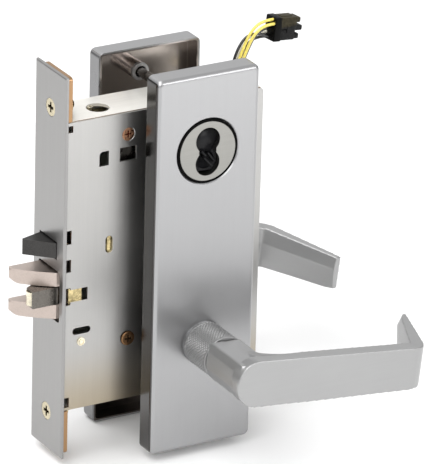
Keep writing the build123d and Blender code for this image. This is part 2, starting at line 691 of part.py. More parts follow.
def lever(tip_x, return_rows, droop):
    """Shank, neck, flat grip and the return towards the door, on the outside of the door."""
    face = -LEVER_FACE
    round_end = rod_y(0, 0, LEVER_HALF_HEIGHT, face, face + 7.5)
    neck = side_prism(NECK_OUTLINE, face + 3, -COLLAR_END - 0.5)
    shank = rod_y(0, 0, SHANK_R, -COLLAR_END - 1, -26.0)
    half = (SPINDLE + 0.1) / 2
    bore = block(-half, half, SPINDLE_END - 0.2, 0, -half, half)
    screw_hole = rod_z(0, SET_SCREW_Y, 2.05, -20, -3)
    return level_to_rest(lever_grip(tip_x, return_rows) + round_end + neck + shank - bore - screw_hole, droop)


def outside_collar():
    """The knurled sleeve on the shank."""
    return rod_y(BACKSET, LEVER_Z, COLLAR_R, -COLLAR_END, -34.6) - rod_y(BACKSET, LEVER_Z, SHANK_R, -60, 0)


def outside_spindle():
    half = SPINDLE / 2
    outer = level_to_rest(block(-half, half, SPINDLE_END, -20.0, -half, half), OUTSIDE_DROOP)
    return outer + square_spindle_inner()


def square_spindle_inner():
    """The inner end of the spindle, square with the hub."""
    half = SPINDLE / 2
    return block(BACKSET - half, BACKSET + half, -20.0, -6.2, LEVER_Z - half, LEVER_Z + half)


def inside_spindle():
    """The inside spindle: it stops short of the clutch."""
    half = SPINDLE / 2
    outer = inside(level_to_rest(block(-half, half, SPINDLE_END, -20.0, -half, half), INSIDE_DROOP))
    return outer + block(BACKSET - half, BACKSET + half, 1.6, 20.0, LEVER_Z - half, LEVER_Z + half)


def lever_set_screw(droop):
    screw = rod_z(0, SET_SCREW_Y, 2.0, -11.2, -4.1)
    hexagon = extrude(Pos(0, SET_SCREW_Y, -11.3) * RegularPolygon(1.1, 6), 1.8)
    return level_to_rest(screw - hexagon, droop)


# ---------------------------------------------------------------- mortise cylinder

LOW_LOBE_Z = CYL_Z - LOBE_GAP / 2 - 0.3
HIGH_LOBE_Z = CYL_Z + LOBE_GAP / 2 - 0.3


def figure_eight(r, y0, y1):
    """The two-lobed core shape with a softened waist."""
    waist = r * 0.72
    middle = (LOW_LOBE_Z + HIGH_LOBE_Z) / 2
    shape = rod_y(BACKSET, LOW_LOBE_Z, r, y0, y1) + rod_y(BACKSET, HIGH_LOBE_Z, r, y0, y1)
    return shape + block(BACKSET - waist, BACKSET + waist, y0, y1, middle - 2.2, middle + 2.2)


def cylinder_housing():
    body = rod_y(BACKSET, CYL_Z, CYL_R, -31.0, -3.8) + rod_y(BACKSET, CYL_Z, CYL_HEAD_R, -ESC_FACE, -30.9)
    body = body - figure_eight(LOBE_R, -50, -8.0)
    return body - rod_y(BACKSET, LOW_LOBE_Z, 5.2, -10, 0)


def core_insert():
    """The dark filler in the core cavity, set back from the cylinder's face."""
    face = -ESC_FACE + 3.2
    body = figure_eight(LOBE_R - 0.15, face, -8.2)
    return body - rod_y(BACKSET + 0.4, LOW_LOBE_Z + 0.4, 4.6, face - 1, face + 1.6)


def cylinder_ring():
    ring = rod_y(BACKSET, CYL_Z, CYL_RING_R, -ESC_FACE + 0.25, -30.0)
    ring -= rod_y(BACKSET, CYL_Z, CYL_HEAD_R, -ESC_FACE - 1, -30.9)
    return ring - rod_y(BACKSET, CYL_Z, CYL_R, -50, 0)


def cylinder_cam():
    """The cam on the back of the cylinder, pointing down at rest."""
    cam = rod_y(BACKSET, LOW_LOBE_Z, 8.0, -3.4, -1.2)
    cam += block(BACKSET - 3.5, BACKSET + 3.5, -3.4, -1.2, LOW_LOBE_Z - 12.5, LOW_LOBE_Z)
    return cam + rod_y(BACKSET, LOW_LOBE_Z, 5.0, -7.4, -3.3)


def cylinder_clamp_screw():
    """The long screw from the front plate that holds the cylinder."""
    return rod_x(-6.0, CYL_Z, 1.8, FRONT_BACK, BACKSET - CYL_R)


# ---------------------------------------------------------------- wires and connector

def wire_grommet():
    body = rod_z(*GROMMET_AT, 4.95, CASE_TOP - 2.4, CASE_TOP + 1.4)
    return body + rod_z(*GROMMET_AT, 6.0, CASE_TOP + 0.02, CASE_TOP + 1.4)


def lead_wire(points):
    """A lead of straight runs joined by the largest arcs that the runs allow."""
    pts = [Vector(*p) for p in points]
    radii = []
    for before, at, after in zip(pts, pts[1:], pts[2:]):
        run = min((at - before).length, (after - at).length)
        turn = math.radians((at - before).get_angle(after - at))
        radii.append(0.45 * run / math.tan(turn / 2))
    path = FilletPolyline(*pts, radius=radii)
    print("wire radii", [round(r, 1) for r in radii], "length", round(path.length, 1))
    return sweep(Plane(origin=path @ 0, z_dir=path % 0) * Circle(WIRE_R), path=path)


def in_connector(shape):
    """Place a piece drawn along +X from the connector's back face."""
    return Pos(*CONNECTOR_AT) * Rot(0, 0, CONNECTOR_YAW) * Rot(0, CONNECTOR_PITCH, 0) * shape


def connector_housing():
    """The plug body, with three rows of sockets that stand out at the mating end."""
    body = block(0, 14.2, -4.2, 4.2, -6.2, 6.2)
    body = fillet(body.edges().filter_by(Axis.X), 0.8)
    for z, reach in ((-4.4, 2.2), (0.0, 3.8), (4.4, 2.2)):
        body += block(13.8, 14.2 + reach, -3.6, 3.6, z - 1.4, z + 1.4)
    return in_connector(body)


# ---------------------------------------------------------------- write every node

NODES = {
    "faceplate": faceplate(),
    "faceplate_screws": faceplate_screws(),
    "inner_front": inner_front(),
    "screw_lugs": screw_lugs(),
    "case_body": case_body(),
    "case_cover": case_cover(),
    "cover_screw_upper": cover_screw_upper(),
    "cover_screw_lower": cover_screw_lower(),
    "case_posts": case_posts(),
    "case_rivets": case_rivets(),
    "top_stud": top_stud(),
    "brass_guides": brass_guides(),
    "latch_head": latch_head(),
    "tongue": tongue(),
    "tongue_roller": tongue_roller(),
    "tongue_pin": tongue_pin(),
    "latch_tail": latch_tail(),
    "latch_spring": latch_spring(),
    "bolt_guide": bolt_guide(),
    "guard_bolt": guard_bolt(),
    "guard_spring": guard_spring(),
    "deadlock_lever": deadlock_lever(),
    "deadlock_pin": deadlock_pin(),
    "outside_hub": outside_hub(),
    "inside_hub": inside_hub(),
    "clutch_ring": clutch_ring(),
    "clutch_yoke": clutch_yoke(),
    "solenoid_coil": solenoid_coil(),
    "solenoid_frame": solenoid_frame(),
    "plunger": plunger(),
    "plunger_spring": plunger_spring(),
    "coil_leads": coil_leads(),
    "request_switch": request_switch(),
    "outside_escutcheon": outside_escutcheon(),
    "inside_escutcheon": inside_escutcheon(),
    "through_bolts": through_bolts(),
    "bushings": Compound(children=[bushing(), inside(bushing())]),
    "spring_cages": Compound(children=[spring_cage(), inside(spring_cage())]),
    "return_springs": Compound(children=[return_spring(), inside(return_spring())]),
    "outside_lever": lever(OUTSIDE_TIP_X, OUTSIDE_RETURN, OUTSIDE_DROOP),
    "outside_collar": outside_collar(),
    "outside_spindle": outside_spindle(),
    "inside_lever": inside(lever(INSIDE_TIP_X, INSIDE_RETURN, INSIDE_DROOP)),
    "inside_collar": inside(outside_collar()),
    "inside_spindle": inside_spindle(),
    "outside_set_screw": lever_set_screw(OUTSIDE_DROOP),
    "inside_set_screw": inside(lever_set_screw(INSIDE_DROOP)),
    "cylinder_housing": cylinder_housing(),
    "core_insert": core_insert(),
    "cylinder_ring": cylinder_ring(),
    "cylinder_cam": cylinder_cam(),
    "cylinder_clamp_screw": cylinder_clamp_screw(),
    "wire_grommet": wire_grommet(),
}
for name, points in WIRE_ROUTES.items():
    NODES[name] = lead_wire(points)
NODES["connector_housing"] = connector_housing()

for name, shape in NODES.items():
    export_step(shape, f"parts/{name}.step")
print(len(NODES), "nodes")
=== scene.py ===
import json
import math

import bmesh
import bpy
from mathutils import Matrix, Vector


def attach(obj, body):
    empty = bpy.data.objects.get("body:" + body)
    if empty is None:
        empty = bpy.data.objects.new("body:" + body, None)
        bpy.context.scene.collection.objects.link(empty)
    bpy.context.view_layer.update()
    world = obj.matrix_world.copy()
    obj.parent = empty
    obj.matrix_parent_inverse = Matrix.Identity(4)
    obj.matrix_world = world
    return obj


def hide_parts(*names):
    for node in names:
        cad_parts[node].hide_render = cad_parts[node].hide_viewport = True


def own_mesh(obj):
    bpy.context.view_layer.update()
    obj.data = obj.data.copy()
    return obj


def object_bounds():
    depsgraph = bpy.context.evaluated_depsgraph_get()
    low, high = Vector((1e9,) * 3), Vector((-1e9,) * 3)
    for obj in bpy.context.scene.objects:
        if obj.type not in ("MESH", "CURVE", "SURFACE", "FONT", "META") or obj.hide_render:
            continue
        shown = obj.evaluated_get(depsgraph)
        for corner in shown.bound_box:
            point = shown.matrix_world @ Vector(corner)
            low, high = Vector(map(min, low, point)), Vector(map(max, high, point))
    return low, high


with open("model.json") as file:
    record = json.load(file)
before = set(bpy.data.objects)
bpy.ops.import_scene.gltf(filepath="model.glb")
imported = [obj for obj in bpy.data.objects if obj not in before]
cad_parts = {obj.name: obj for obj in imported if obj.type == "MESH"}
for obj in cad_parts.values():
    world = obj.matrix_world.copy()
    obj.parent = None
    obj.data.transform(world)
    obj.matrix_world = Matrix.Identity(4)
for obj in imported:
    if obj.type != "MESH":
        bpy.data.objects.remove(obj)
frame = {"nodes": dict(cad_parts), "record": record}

CAD_BOUNDS = [list(corner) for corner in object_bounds()]
MM = 0.001
nodes = frame["nodes"]

# Main dimensions, in millimetres, as in the CAD model
BACKSET = 69.85
LEVER_Z = -44.5
OUTSIDE_DROOP = 6.2
INSIDE_DROOP = 7.0
SHANK_R = 8.0
COLLAR_R = 11.6
COLLAR_START = 34.6
COLLAR_END = 55.5
CONNECTOR_AT = (123.0, 0.2, 102.0)
CONNECTOR_PITCH = 8.0
CONNECTOR_YAW = 8.0
WIRE_R = 0.75

# Camera: angles in degrees, lens in millimetres, target in millimetres, distance in metres
CAMERA_AZIMUTH, CAMERA_ELEVATION, CAMERA_ROLL = -30.262, 23.0, 1.583
CAMERA_LENS = 434.85
CAMERA_TARGET = (96.31, 0.0, -2.823)
CAMERA_DISTANCE = 2.806

# Studio panels: place, aim, width and height in metres, power in watts
PANEL_AIM = (0.06, 0, 0)
PANELS = {
    "key": ((-1.3, -1.2, 1.6), PANEL_AIM, (1.9, 1.9), 30),
    "back": ((0.95, 1.6, 0.85), PANEL_AIM, (3.0, 1.5), 4),
    "top": ((-0.6, 0.4, 1.9), PANEL_AIM, (1.8, 1.4), 22),
    "front": ((1.03, -1.67, 0.82), PANEL_AIM, (1.5, 0.9), 15),
    "low": ((0.36, -0.58, -0.104), (0.36, -0.58, 1), (0.6, 0.27), 0.55),
}
# World brightness: (height of the direction, colour) at the foot and at the top of the ramp
WORLD_LOW = (0.05, (0.30, 0.30, 0.31, 1))
WORLD_HIGH = (0.45, (1.0, 1.0, 1.0, 1))
WORLD_STRENGTH = 0.85
FLOOR_SIZE = 12
FLOOR_GAP = 0.0004


# ---------------------------------------------------------------- camera, floor and light

def view_axes(azimuth, elevation, roll):
    """Right, up and backward axes of a camera at those angles, in degrees."""
    az, el, rl = (math.radians(a) for a in (azimuth, elevation, roll))
    back = Vector((math.sin(az) * math.cos(el), -math.cos(az) * math.cos(el), math.sin(el)))
    level_right = (-back).cross(Vector((0, 0, 1))).normalized()
    level_up = level_right.cross(-back)
    right = level_right * math.cos(rl) + level_up * math.sin(rl)
    up = level_up * math.cos(rl) - level_right * math.sin(rl)
    return right, up, back


def place_camera():
    """The camera of the photograph."""
    right, up, back = view_axes(CAMERA_AZIMUTH, CAMERA_ELEVATION, CAMERA_ROLL)
    data = bpy.data.cameras.new("camera")
    data.lens = CAMERA_LENS
    data.sensor_width = 36.0
    data.clip_end = 50.0
    camera = bpy.data.objects.new("camera", data)
    place = Vector(CAMERA_TARGET) * MM + back * CAMERA_DISTANCE
    camera.matrix_world = Matrix.Translation(place) @ Matrix((right, up, back)).transposed().to_4x4()
    bpy.context.scene.collection.objects.link(camera)
    bpy.context.scene.camera = camera


def area_light(name, place, aim, size, power):
    data = bpy.data.lights.new(name, "AREA")
    data.shape = "RECTANGLE"
    data.size, data.size_y = size
    data.energy = power
    light = bpy.data.objects.new(name, data)
    light.location = place
    light.rotation_euler = (Vector(aim) - Vector(place)).to_track_quat("-Z", "Y").to_euler()
    bpy.context.scene.collection.objects.link(light)


def light_scene():
    """A world that brightens with height, and the studio panels."""
    world = bpy.data.worlds.new("studio")
    bpy.context.scene.world = world
    world.use_nodes = True
    tree = world.node_tree
    background = tree.nodes["Background"]
    coords = tree.nodes.new("ShaderNodeTexCoord")
    split = tree.nodes.new("ShaderNodeSeparateXYZ")
    ramp = tree.nodes.new("ShaderNodeValToRGB")
    tree.links.new(coords.outputs["Generated"], split.inputs[0])
    tree.links.new(split.outputs["Z"], ramp.inputs["Fac"])
    for element, (position, colour) in zip(ramp.color_ramp.elements, (WORLD_LOW, WORLD_HIGH)):
        element.position = position
        element.color = colour
    tree.links.new(ramp.outputs["Color"], background.inputs["Color"])
    background.inputs["Strength"].default_value = WORLD_STRENGTH
    for name, panel in PANELS.items():
        area_light(name, *panel)
    bpy.context.scene.view_settings.view_transform = "Standard"


def lay_floor():
    """A pale floor just under the part, for the shadow."""
    bpy.ops.mesh.primitive_plane_add(size=FLOOR_SIZE, location=(0.07, 0, CAD_BOUNDS[0][2] - FLOOR_GAP))
    floor = bpy.context.object
    floor.name = "floor"
    floor.data.materials.append(matt("floor", (0.86, 0.86, 0.86), 0.9, 3.0, 0.01))


# ---------------------------------------------------------------- materials

def srgb(*values):
    """Linear colour of an ordinary 0 to 255 colour."""
    return tuple((v / 255 / 12.92) if v < 10.3 else ((v / 255 + 0.055) / 1.055) ** 2.4 for v in values)


def shade(colour, factor):
    """A colour made lighter or darker."""
    return tuple(min(1.0, c * factor) for c in colour)


class Builder:
    """A new node material with one Principled shader, and short ways to add nodes to it."""

    def __init__(self, name):
        self.material = bpy.data.materials.new(name)
        self.material.use_nodes = True
        self.tree = self.material.node_tree
        self.shader = self.tree.nodes["Principled BSDF"]
        self.coords = self.tree.nodes.new("ShaderNodeTexCoord").outputs["Object"]

    def node(self, kind, **settings):
        node = self.tree.nodes.new(kind)
        for key, value in settings.items():
            setattr(node, key, value)
        return node

    def link(self, source, target):
        self.tree.links.new(source, target)

    def noise(self, scale, detail, rough, stretch=None):
        noise = self.node("ShaderNodeTexNoise")
        noise.inputs["Scale"].default_value = scale
        noise.inputs["Detail"].default_value = detail
        noise.inputs["Roughness"].default_value = rough
        source = self.coords
        if stretch:
            mapping = self.node("ShaderNodeMapping")
            mapping.inputs["Scale"].default_value = stretch
            self.link(source, mapping.inputs["Vector"])
            source = mapping.outputs["Vector"]
        self.link(source, noise.inputs["Vector"])
        return noise.outputs[0]

    def ramp(self, source, stops):
        ramp = self.node("ShaderNodeValToRGB")
        elements = ramp.color_ramp.elements
        while len(elements) < len(stops):
            elements.new(0.5)
        for element, (at, colour) in zip(elements, stops):
            element.position = at
            element.color = (*colour, 1) if hasattr(colour, "__len__") else (colour, colour, colour, 1)
        self.link(source, ramp.inputs["Fac"])
        return ramp.outputs["Color"]

    def maths(self, operation, a, b):
        node = self.node("ShaderNodeMath", operation=operation)
        for socket, value in zip(node.inputs, (a, b)):
            if isinstance(value, (int, float)):
                socket.default_value = value
            else:
                self.link(value, socket)
        return node.outputs[0]

    def mix(self, factor, a, b, blend="MIX"):
        node = self.node("ShaderNodeMix", data_type="RGBA", blend_type=blend)
        for socket, value in ((node.inputs[0], factor), (node.inputs[6], a), (node.inputs[7], b)):
            if isinstance(value, (int, float)):
                socket.default_value = value
            elif hasattr(value, "__len__"):
                socket.default_value = (*value, 1)
            else:
                self.link(value, socket)
        return node.outputs[2]

    def between(self, value, low, high):
        """0 below low, 1 above high, and a smooth step from one to the other."""
        step = self.node("ShaderNodeMapRange", interpolation_type="SMOOTHSTEP")
        step.inputs["From Min"].default_value = low
        step.inputs["From Max"].default_value = high
        self.link(value, step.inputs["Value"])
        return step.outputs[0]

    def inside_box(self, low, high):
        """1 at points between two corners in metres, and 0 elsewhere."""
        mask = None
        for name, least, most in zip("XYZ", low, high):
            value = self.axis(name)
            here = self.maths("MULTIPLY", self.maths("GREATER_THAN", value, least),
                              self.maths("LESS_THAN", value, most))
            mask = here if mask is None else self.maths("MULTIPLY", mask, here)
        return mask

    def bump(self, height, strength, distance, below=None):
        """A bumped normal; below is the normal that it starts from."""
        bump = self.node("ShaderNodeBump")
        bump.inputs["Strength"].default_value = strength
        bump.inputs["Distance"].default_value = distance
        self.link(height, bump.inputs["Height"])
        if below is not None:
            self.link(below, bump.inputs["Normal"])
        return bump.outputs["Normal"]

    def axis(self, name):
        """One coordinate of the point, in metres."""
        split = self.node("ShaderNodeSeparateXYZ")
        self.link(self.coords, split.inputs[0])
        return split.outputs[name]

    def soft_edges(self, radius):
        """A normal that rounds the edges by that radius, in metres."""
        bevel = self.node("ShaderNodeBevel", samples=4)
        bevel.inputs["Radius"].default_value = radius
        return bevel.outputs["Normal"]

    def set(self, **values):
        """Give the shader's inputs values or links; an underscore stands for a space in a name."""
        for key, value in values.items():
            socket = self.shader.inputs[key.replace("_", " ")]
            if isinstance(value, bpy.types.NodeSocket):
                self.link(value, socket)
            else:
                socket.default_value = (*value, 1) if hasattr(value, "__len__") else value


# Scales of the noises, per metre, and the greatest height of the fine bumps, in metres
BRUSH_ALONG, BRUSH_ACROSS = 40, 2400
BROAD_BRUSH = 0.22
CLOUD_SCALE = 28.0
BUMP_HEIGHT = 0.0002
EDGE_RADIUS = 0.00025


def satin(name, colour, roughness, along, streak=0.04, mottle=0.04, edge=0.0002, bump=0.03, painted_reflection=None,
          painted_zones=(), metallic=1.0):
    """Satin-finished metal: fine brushing along one axis, clouding and softened edges.

    The tint (axis, low, high, colour) is a painted reflection: the colour multiplies the base below low and
    fades out up to high.
    Each zone is (box, colour, roughness): inside the box the colour multiplies the base, painting light and
    shade there, and the roughness replaces the base roughness.
    """
    b = Builder(name)
    long, across = BRUSH_ALONG, BRUSH_ACROSS
    stretch = {"X": (long, across, across), "Y": (across, long, across), "Z": (across, across, long)}[along]
    fine = b.noise(1.0, 2.0, 0.5, stretch)
    broad = b.noise(1.0, 3.0, 0.5, tuple(s * BROAD_BRUSH for s in stretch))
    cloud = b.noise(CLOUD_SCALE, 3.0, 0.5)
    grain = b.mix(0.35, fine, broad)
    tone = b.ramp(grain, [(0.3, shade(colour, 1 - streak)), (0.7, shade(colour, 1 + streak * 0.6))])
    clouding = b.ramp(cloud, [(0.35, 1 - mottle), (0.65, 1.0)])
    base = b.mix(1.0, tone, clouding, "MULTIPLY")
    if painted_reflection:
        axis, low, high, reflection_colour = painted_reflection
        base = b.mix(b.between(b.axis(axis), low, high), b.mix(1.0, base, reflection_colour, "MULTIPLY"), base)
    rough = b.ramp(b.mix(0.85, grain, cloud), [(0.3, roughness - 0.03), (0.7, roughness + 0.04)])
    for box, dark, polish in painted_zones:
        inside = b.inside_box(*box)
        base = b.mix(inside, base, b.mix(1.0, base, dark, "MULTIPLY"))
        rough = b.mix(inside, rough, b.ramp(cloud, [(0.3, polish - 0.04), (0.7, polish + 0.04)]))
    b.set(Base_Color=base, Metallic=metallic, Roughness=rough,
          Normal=b.bump(fine, bump, BUMP_HEIGHT, b.soft_edges(edge)))
    return b.material


def worn(name, colour, roughness, speckle=260.0, depth=0.12, contrast=0.18, recess=None):
    """Cast, sintered or plated metal: a fine random surface with patchy colour.

    recess is (axis, low, high, colour): the colour that fills a recess, which deepens from low to high; in the
    cross of the face screws it is painted shade.
    """
    b = Builder(name)
    small = b.noise(speckle * 6, 3.0, 0.6)
    patch = b.noise(speckle, 4.0, 0.6)
    base = b.ramp(b.mix(0.5, small, patch),
                  [(0.36, shade(colour, 1 - contrast)), (0.64, shade(colour, 1 + contrast))])
    rough = b.ramp(patch, [(0.3, roughness - 0.08), (0.7, roughness + 0.1)])
    if recess:
        axis, low, high, recess_colour = recess
        deep = b.between(b.axis(axis), low, high)
        base = b.mix(deep, base, recess_colour)
        rough = b.mix(deep, rough, (0.7, 0.7, 0.7))
    b.set(Base_Color=base, Metallic=1.0, Roughness=rough,
          Normal=b.bump(small, depth, BUMP_HEIGHT, b.soft_edges(EDGE_RADIUS)))
    return b.material


def matt(name, colour, roughness, scale=900.0, depth=0.1, coat=0.0, specular=0.5):
    """Plastic, rubber or paint."""
    b = Builder(name)
    grain = b.noise(scale, 3.0, 0.6)
    base = b.ramp(grain, [(0.3, shade(colour, 0.88)), (0.7, shade(colour, 1.12))])
    rough = b.ramp(grain, [(0.3, max(0.02, roughness - 0.06)), (0.7, roughness + 0.06)])
    b.set(Base_Color=base, Roughness=rough, Specular_IOR_Level=specular, Coat_Weight=coat,
          Normal=b.bump(grain, depth, 0.0001))
    return b.material


# Where the plug's plastic changes, in metres: grey to olive going up, black to those going outward
PLUG_OLIVE_FROM = (0.1012, 0.1032)
PLUG_BLACK_UP_TO = (0.1272, 0.1282)


def plug_plastic(name):
    """Black plastic at the wire end, dull olive above and dull grey below at the socket end."""
    b = Builder(name)
    grain = b.noise(700.0, 4.0, 0.6)
    olive = b.ramp(grain, [(0.3, srgb(40, 36, 24)), (0.7, srgb(62, 57, 42))])
    grey = b.ramp(grain, [(0.3, srgb(18, 18, 18)), (0.7, srgb(34, 34, 34))])
    black = b.ramp(grain, [(0.3, srgb(1, 1, 1)), (0.7, srgb(5, 5, 4))])
    outer = b.mix(b.between(b.axis("Z"), *PLUG_OLIVE_FROM), grey, olive)
    base = b.mix(b.between(b.axis("X"), *PLUG_BLACK_UP_TO), black, outer)
    rough = b.ramp(grain, [(0.3, 0.34), (0.7, 0.52)])
    b.set(Base_Color=base, Roughness=rough, Specular_IOR_Level=0.1, Normal=b.bump(grain, 0.12, 0.0001))
    return b.material


# Boxes of painted light and shade, each with its own roughness, as two corners in metres: a painted warm
# reflection in the hollow of the inside plate, painted shade in the lower part of it and on the left sides
# of the two plates, and painted shade in the seam along the top of the case
INNER_HOLLOW = ((0.0396, 0.0215, -0.1045), (0.0951, 0.0326, 0.0938))
LOW_HOLLOW = ((0.0396, 0.0215, -0.1045), (0.0951, 0.0326, -0.0600))
LEFT_SIDE = ((0.0408, -0.0325, -0.1100), (0.0418, -0.0200, 0.1100))
INSIDE_LEFT_SIDE = ((0.0370, 0.0200, -0.1100), (0.0392, 0.0326, 0.1100))
SEAM_SHADE = ((0.0, -0.0121, 0.0765), (0.2, -0.0113, 0.0768))


def make_materials():
    """Every material, by its slot name."""
    return {
        # painted light in the zones: a painted warm reflection in the inside hollow, painted shade low in it
        # and on both left sides
        "satin_trim": satin("satin_trim", srgb(168, 168, 169), 0.34, "Z", bump=0.004, streak=0.02,
                            painted_zones=[(INNER_HOLLOW, srgb(255, 244, 236), 0.22),
                                   (LEFT_SIDE, srgb(140, 138, 136), 0.2),
                                   (LOW_HOLLOW, srgb(150, 148, 146), 0.22),
                                   (INSIDE_LEFT_SIDE, srgb(210, 210, 210), 0.3)]),
        "satin_lever": satin("satin_lever", srgb(165, 165, 165), 0.36, "X", bump=0.004, streak=0.02,
                             metallic=0.85),
        "knurled_collar": satin("knurled_collar", srgb(150, 150, 150), 0.38, "Y", streak=0.10, metallic=0.85),
        "faceplate": satin("faceplate", srgb(156, 155, 154), 0.32, "Z", edge=0.0003),
        "front_plate": satin("front_plate", srgb(168, 134, 100), 0.34, "Z"),
        # painted shade: the strip along the seam at the top of the case is painted brown
        "case_zinc": satin("case_zinc", srgb(236, 234, 228), 0.40, "X", streak=0.04, metallic=0.5,
                           painted_zones=[(SEAM_SHADE, srgb(150, 118, 92), 0.4)]),
        # painted reflection: the cover's colour turns warm toward its foot, below z -0.040 m
        "cover_zinc": satin("cover_zinc", srgb(179, 178, 176), 0.32, "Z", streak=0.03, mottle=0.06,
                            painted_reflection=("Z", -0.080, -0.040, srgb(246, 232, 208))),
        "brass": worn("brass", srgb(190, 174, 130), 0.26, speckle=110.0, contrast=0.62, depth=0.35),
        "copper_screw": worn("copper_screw", srgb(212, 160, 126), 0.3,
                             recess=("Y", -0.0123, -0.0118, srgb(96, 30, 14))),
        "bronze_screw": worn("bronze_screw", srgb(128, 98, 70), 0.32,
                             recess=("Y", -0.0138, -0.0134, srgb(40, 26, 14))),
        # painted shade in the cross recess of the face screws, darkest at its bottom
        "face_screw": worn("face_screw", srgb(200, 190, 162), 0.26,
                           recess=("X", 0.0004, 0.0010, srgb(52, 36, 18))),
        "latch_steel": worn("latch_steel", srgb(190, 177, 169), 0.40, contrast=0.08, depth=0.08),
        "dark_steel": worn("dark_steel", srgb(72, 71, 70), 0.45, contrast=0.15),
        "bright_steel": worn("bright_steel", srgb(226, 218, 196), 0.2, speckle=120.0, contrast=0.3),
        "inner_steel": worn("inner_steel", srgb(108, 104, 99), 0.28),
        "spring_wire": worn("spring_wire", srgb(150, 150, 152), 0.3),
        "coil_wrap": matt("coil_wrap", srgb(170, 110, 48), 0.4, coat=0.3),
        "switch_case": matt("switch_case", srgb(38, 38, 40), 0.45),
        "cylinder_face": satin("cylinder_face", srgb(150, 149, 145), 0.30, "X", streak=0.05),
        "core_black": matt("core_black", srgb(22, 22, 24), 0.34, specular=0.18),
        "ring_black": matt("ring_black", srgb(4, 4, 4), 0.5, specular=0.05),
        "wire_yellow": matt("wire_yellow", srgb(224, 206, 96), 0.32, coat=0.35),
        "wire_black": matt("wire_black", srgb(16, 15, 15), 0.3, coat=0.35),
        "wire_white": matt("wire_white", srgb(226, 222, 205), 0.35, coat=0.3),
        "grommet_rubber": matt("grommet_rubber", srgb(26, 26, 26), 0.6),
        "plug_black": plug_plastic("plug_black"),
    }


# ---------------------------------------------------------------- helpers for pieces

def finish_piece(obj, name, body, slot, replaced, smooth_angle=35.0):
    """Name a piece, give it its material, tie it to its body, and hide the CAD nodes that it replaces."""
    obj.name = name
    obj.data.materials.clear()
    obj.data.materials.append(materials[slot])
    if obj.type == "MESH":
        obj.data.shade_smooth()
        if smooth_angle:
            obj.data.set_sharp_from_angle(angle=math.radians(smooth_angle))
    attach(obj, body)
    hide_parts(*replaced)


def mesh_object(name, verts, faces):
    """An object from points in millimetres and faces."""
    mesh = bpy.data.meshes.new(name)
    mesh.from_pydata([Vector(v) * MM for v in verts], [], faces)
    mesh.update()
    obj = bpy.data.objects.new(name, mesh)
    bpy.context.scene.collection.objects.link(obj)
    return obj


def apply_modifiers(obj):
    """Put the result of an object's modifiers into its mesh."""
    bpy.context.view_layer.update()
    evaluated = obj.evaluated_get(bpy.context.evaluated_depsgraph_get())
    mesh = bpy.data.meshes.new_from_object(evaluated)
    obj.modifiers.clear()
    obj.data = mesh


def working_copy(source, name):
    """A copy of a CAD object, with its own mesh, to work on."""
    obj = source.copy()
    obj.data = source.data.copy()
    obj.name = name
    for key in list(obj.keys()):
        del obj[key]
    bpy.context.scene.collection.objects.link(obj)
    return obj


def join_into(target, pieces):
    """Merge the meshes of some pieces into one object, and remove the pieces."""
    bm = bmesh.new()
    bm.from_mesh(target.data)
    for piece in pieces:
        bm.from_mesh(piece.data)
        bpy.data.objects.remove(piece)
    bm.to_mesh(target.data)
    bm.free()


def box_piece(name, x0, x1, y0, y1, z0, z1, bevel, segments=3):
    """A block between two corners, in millimetres, with rounded edges."""
    verts = [(x, y, z) for x in (x0, x1) for y in (y0, y1) for z in (z0, z1)]
    faces = [(0, 1, 3, 2), (4, 6, 7, 5), (0, 4, 5, 1), (2, 3, 7, 6), (0, 2, 6, 4), (1, 5, 7, 3)]
    obj = mesh_object(name, verts, faces)
    modifier = obj.modifiers.new("bevel", "BEVEL")
    modifier.width = bevel * MM
    modifier.segments = segments
    apply_modifiers(obj)
    return obj


def lathe_rings(name, rings, count, place):
    """A closed surface through rings of points: each ring gives a radius at every step round the axis."""
    verts, faces = [], []
    for along, radii in rings:
        for step in range(count):
            angle = 2 * math.pi * step / count
            verts.append(place(along, radii[step] * math.cos(angle), radii[step] * math.sin(angle)))
    for ring in range(len(rings)):
        after = (ring + 1) % len(rings)
        for step in range(count):
            turn = (step + 1) % count
            quad = (ring * count + step, ring * count + turn, after * count + turn, after * count + step)
            if (step + ring) % 2:
                faces += [(quad[0], quad[1], quad[3]), (quad[1], quad[2], quad[3])]
            else:
                faces += [(quad[0], quad[1], quad[2]), (quad[0], quad[2], quad[3])]
    obj = mesh_object(name, verts, faces)
    fix_normals(obj)
    return obj


def stacked_faces(rows, around):
    """Faces of a tube whose points run round in rows, closed at both ends."""
    faces = []
    for row in range(rows - 1):
        for turn in range(around):
            after = (turn + 1) % around
            faces.append((row * around + turn, row * around + after, (row + 1) * around + after,
                          (row + 1) * around + turn))
    return faces + [tuple(range(around)), tuple(range((rows - 1) * around, rows * around))]


def fix_normals(obj):
    """Turn every face outward."""
    bm = bmesh.new()
    bm.from_mesh(obj.data)
    bmesh.ops.recalc_face_normals(bm, faces=bm.faces)
    bm.to_mesh(obj.data)
    bm.free()


# ---------------------------------------------------------------- knurled collars

# Points round and along, then depths, radii and distances in millimetres
KNURLS_ROUND = 40
KNURL_ROWS = 18
KNURL_DEPTH = 0.42
KNURL_BAND = 1.3
BAND_R = COLLAR_R - 0.1
BAND_EDGE_R = COLLAR_R - 0.5
BAND_CHAMFER = 0.35
GROOVE_R = BAND_R - KNURL_DEPTH
SLOPE_TOP, SLOPE_FOOT = 0.25, 0.05


